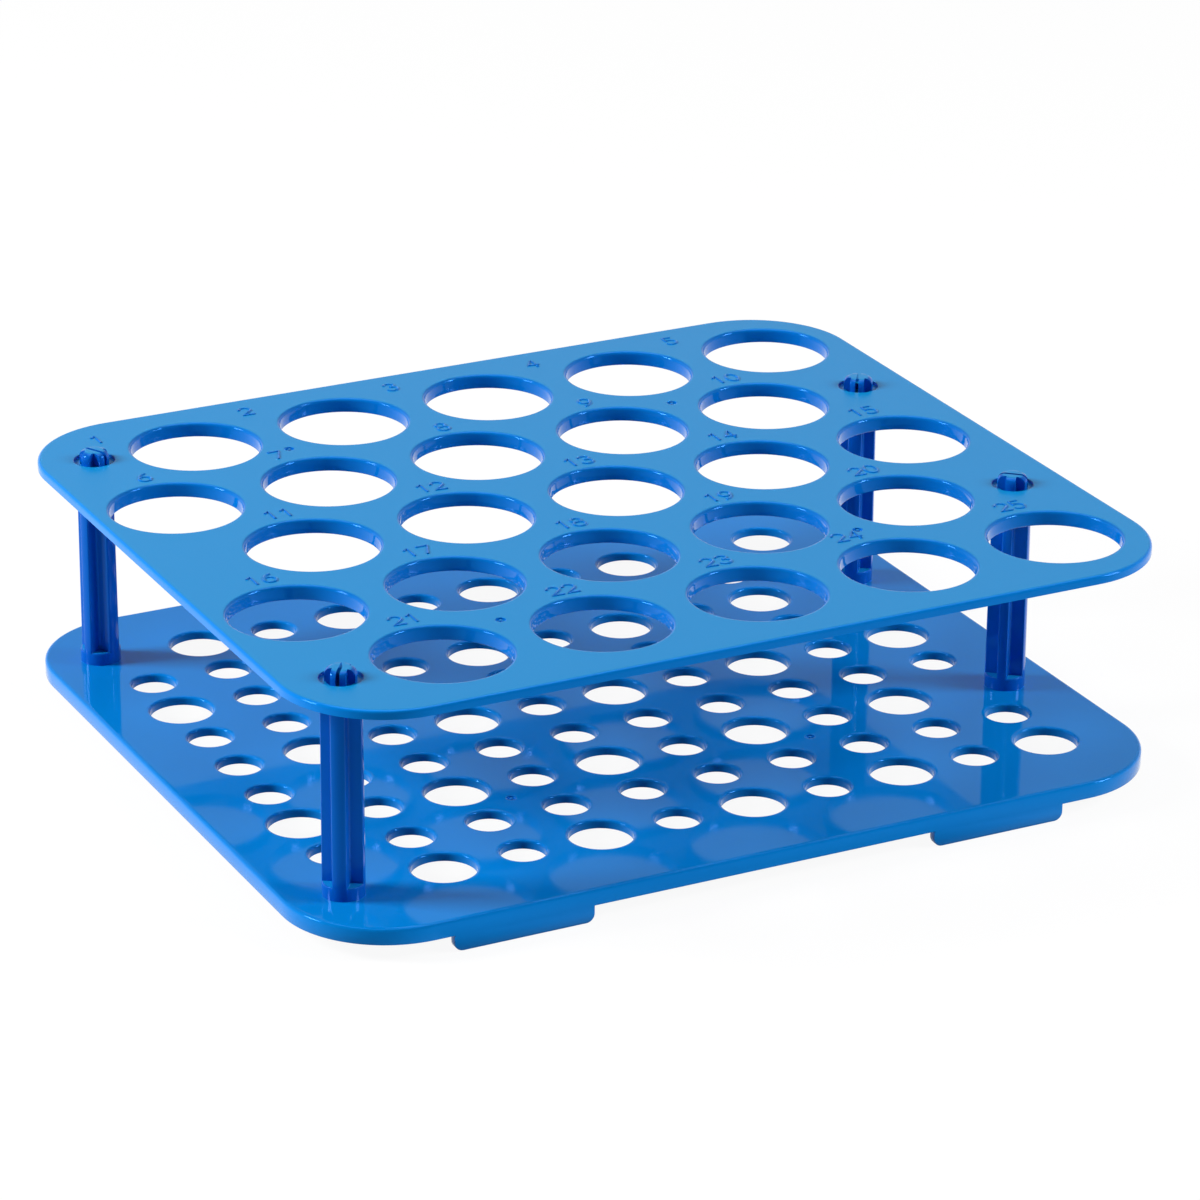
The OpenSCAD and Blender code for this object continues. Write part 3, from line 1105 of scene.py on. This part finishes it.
@dataclass
class Studio:
    """The pale floor, the soft light and the camera; sizes here are in metres.

    Gloss mirrors a white room with a darker ceiling, a bright canopy overhead and a small
    glint at each side. The side lamps stay out of it, so that no side of the rack glares.
    A span is where a change starts and where it is done: by the upward part of a direction
    for ceiling and canopy, by the cosine to the middle for a glint, and in half sizes of
    the rack for the table.
    """

    camera_place: Point = (-0.47209, -0.93680, 0.47117)
    camera_turn: Point = (67.2533, -0.3817, -26.7849)
    lens: float = 151.68
    sensor: float = 36.0
    floor_size: float = 8.0
    horizon: float = 0.0
    zenith: float = 0.05
    ceiling: float = 0.45
    ceiling_span: Pair = (0.12, 0.28)
    canopy: float = 3.0
    canopy_span: Pair = (0.8, 0.9)
    glint: float = 32.0
    glint_span: Pair = (0.984, 0.995)
    glint_bearings: Pair = (-99.0, 101.0)
    side_rise: float = 30.0
    lamp_reach: float = 1.3
    side_bearings: Pair = (-93.0, 94.0)
    side_powers: Pair = (21.0, 12.0)
    side_size: Pair = (0.4, 0.5)
    top_rise: float = 86.0
    top_power: float = 2.5
    top_size: Pair = (0.8, 0.8)
    table_shown: float = 0.93
    table_shown_albedo: float = 0.08
    table_glow: float = 0.95
    table_albedos: Pair = (0.1, 0.55)
    edge_span: Pair = (0.98, 1.1)
    far_span: Pair = (1.15, 1.8)
    far_share: float = 0.15

    def shown(self, tree: NodeTree) -> NodeSocket:
        """Give 1 for rays that see the background: from the camera, gloss or glass.

        Args:
            tree: The node tree that gets the test.

        Returns:
            The socket with the answer.
        """
        path = add_node(tree, "LightPath")
        some = add_node(tree, "Math", {
            0: path.outputs["Is Camera Ray"], 1: path.outputs["Is Glossy Ray"]},
            operation="MAXIMUM")
        return add_node(tree, "Math", {
            0: some.outputs[0], 1: path.outputs["Is Transmission Ray"]},
            operation="MAXIMUM").outputs[0]

    def direction(self, bearing: float, rise: float) -> Vector:
        """Give the direction of a bearing from where the camera looks.

        Args:
            bearing: The bearing, in degrees, clockwise seen from above.
            rise: The height above the horizon, in degrees.

        Returns:
            The direction, of length 1.
        """
        turn, rise = math.radians(bearing - self.camera_turn[2]), math.radians(rise)
        return Vector((math.sin(turn) * math.cos(rise), math.cos(turn) * math.cos(rise),
                       math.sin(rise)))

    def world(self) -> None:
        """Light the scene evenly, in front of a white background."""
        world = bpy.data.worlds.new("studio_white")
        world.use_nodes = True
        tree = world.node_tree
        tree.nodes.clear()
        ahead = add_node(tree, "TexCoord").outputs["Generated"]
        upward = add_node(tree, "SeparateXYZ", {"Vector": ahead}).outputs["Z"]
        start, done = self.ceiling_span
        room = add_node(tree, "MapRange", {
            "Value": upward, "From Min": start, "From Max": done,
            "To Min": 1.0, "To Max": self.ceiling})
        start, done = self.canopy_span
        overhead = add_node(tree, "MapRange", {
            "Value": upward, "From Min": start, "From Max": done,
            "To Min": 0.0, "To Max": self.canopy})
        seen = add_node(tree, "Math", {
            0: room.outputs["Result"], 1: overhead.outputs["Result"]})
        start, done = self.glint_span
        for bearing in self.glint_bearings:
            towards = add_node(tree, "VectorMath", {
                0: ahead, 1: self.direction(bearing, self.side_rise)},
                operation="DOT_PRODUCT")
            glint = add_node(tree, "MapRange", {
                "Value": towards.outputs["Value"], "From Min": start, "From Max": done,
                "To Min": 0.0, "To Max": self.glint})
            seen = add_node(tree, "Math", {
                0: seen.outputs[0], 1: glint.outputs["Result"]})
        soft_light = add_node(tree, "MapRange", {
            "Value": upward, "To Min": self.horizon, "To Max": self.zenith})
        level = add_node(tree, "MapRange", {
            "Value": self.shown(tree), "To Min": soft_light.outputs["Result"],
            "To Max": seen.outputs[0]})
        light = add_node(tree, "Background", {
            "Color": linear("#ffffff"), "Strength": level.outputs["Result"]})
        add_node(tree, "OutputWorld", {"Surface": light.outputs[0]})
        bpy.context.scene.world = world

    def beside_rack(self, tree: NodeTree) -> NodeSocket:
        """Give how bright the paper is painted for the light that it throws: 1 beside the
        rack, less far off, 0 under it; a painted shadow under the rack and a painted pool of
        light beside it.

        Args:
            tree: The node tree that gets the test.

        Returns:
            The socket with the answer.
        """
        place = add_node(tree, "VectorMath", {
            0: add_node(tree, "TexCoord").outputs["Object"]}, operation="ABSOLUTE")
        share = add_node(tree, "VectorMath", {
            0: place.outputs[0], 1: CAD_BOX[1]}, operation="DIVIDE")
        sides = add_node(tree, "SeparateXYZ", {0: share.outputs[0]})
        outermost = add_node(tree, "Math", {
            0: sides.outputs["X"], 1: sides.outputs["Y"]}, operation="MAXIMUM")
        start, done = self.edge_span
        beside = add_node(tree, "MapRange", {
            "Value": outermost.outputs[0], "From Min": start, "From Max": done})
        start, done = self.far_span
        near = add_node(tree, "MapRange", {
            "Value": outermost.outputs[0], "From Min": start, "From Max": done,
            "To Min": 1.0, "To Max": self.far_share})
        return add_node(tree, "Math", {
            0: beside.outputs["Result"], 1: near.outputs["Result"]},
            operation="MULTIPLY").outputs[0]

    def floor(self) -> None:
        """Lay a plain white floor that keeps a faint shadow of the rack; the light that it
        throws onto the rack is painted darker under the rack, as painted shadow.
        """
        bm = bmesh.new()
        bmesh.ops.create_grid(bm, x_segments=1, y_segments=1, size=self.floor_size / 2)
        mesh = bpy.data.meshes.new("studio_floor")
        bm.to_mesh(mesh)
        bm.free()
        floor = add_object("studio_floor", mesh)
        made = bpy.data.materials.new("matt_white_paper")
        made.use_nodes = True
        tree = made.node_tree
        tree.nodes.clear()
        shown = self.shown(tree)
        beside = self.beside_rack(tree)
        # Under the rack the paper's bounce and glow are painted low: painted shadow; beside
        # it they are a painted pool of light.
        under, open_table = self.table_albedos
        bounce = add_node(tree, "MapRange", {
            "Value": beside, "To Min": under, "To Max": open_table})
        albedo = add_node(tree, "MapRange", {
            "Value": shown, "To Min": bounce.outputs["Result"],
            "To Max": self.table_shown_albedo})
        fill = add_node(tree, "MapRange", {
            "Value": beside, "To Min": 0.0, "To Max": self.table_glow})
        glow = add_node(tree, "MapRange", {
            "Value": shown, "To Min": fill.outputs["Result"], "To Max": self.table_shown})
        paper = add_node(tree, "BsdfDiffuse", {"Color": albedo.outputs["Result"]})
        light = add_node(tree, "Emission", {"Strength": glow.outputs["Result"]})
        both = add_node(tree, "AddShader", {0: paper.outputs[0], 1: light.outputs[0]})
        add_node(tree, "OutputMaterial", {"Surface": both.outputs[0]})
        floor.data.materials.append(made)

    def softbox(self, name: str, bearing: float, rise: float, power: float,
                size: Pair, mirrored: bool) -> None:
        """Hang a softbox that faces the object.

        Args:
            name: The lamp's name.
            bearing: Its bearing from where the camera looks, in degrees.
            rise: Its height above the horizon, in degrees.
            power: Its power in watts.
            size: Its width and height in metres.
            mirrored: Whether it shows in what is glossy.
        """
        lamp = bpy.data.lights.new(name, "AREA")
        lamp.energy = power
        lamp.shape = "RECTANGLE"
        lamp.size, lamp.size_y = size
        box = add_object(name, lamp)
        box.location = self.lamp_reach * self.direction(bearing, rise)
        box.rotation_euler = box.location.to_track_quat("Z", "Y").to_euler()
        box.visible_glossy = mirrored

    def camera(self) -> None:
        """Stand the camera where it sees the rack from the front left and above."""
        data = bpy.data.cameras.new("camera")
        data.lens = self.lens
        data.sensor_width = self.sensor
        camera = add_object("camera", data)
        camera.location = self.camera_place
        camera.rotation_euler = [math.radians(turn) for turn in self.camera_turn]
        bpy.context.scene.camera = camera

    def build(self) -> None:
        """Set up the whole studio."""
        bpy.context.scene.view_settings.view_transform = "Standard"
        self.world()
        self.floor()
        for name, bearing, power in zip(("softbox_left", "softbox_right"),
                                        self.side_bearings, self.side_powers):
            self.softbox(name, bearing, self.side_rise, power, self.side_size,
                         mirrored=False)
        self.softbox("softbox_above", 0.0, self.top_rise, self.top_power, self.top_size,
                     mirrored=True)
        self.camera()


def main() -> None:
    """Build the studio and the rack."""
    logging.basicConfig(level=logging.INFO, format="%(message)s")
    Studio().build()
    grid = HoleGrid()
    posts = [Post("post_back_left", turn=118), Post("post_front_left", turn=54),
             Post("post_back_right", turn=54), Post("post_front_right", turn=139)]
    places = [post.middle() for post in posts]
    top, base = TopPlate(), BasePlate()
    top.build(grid, places)
    base.build(grid, places)
    for post in posts:
        post.build(base, top)
    HoleNumbers().build(grid, top)


if __name__ == "__main__":
    main()
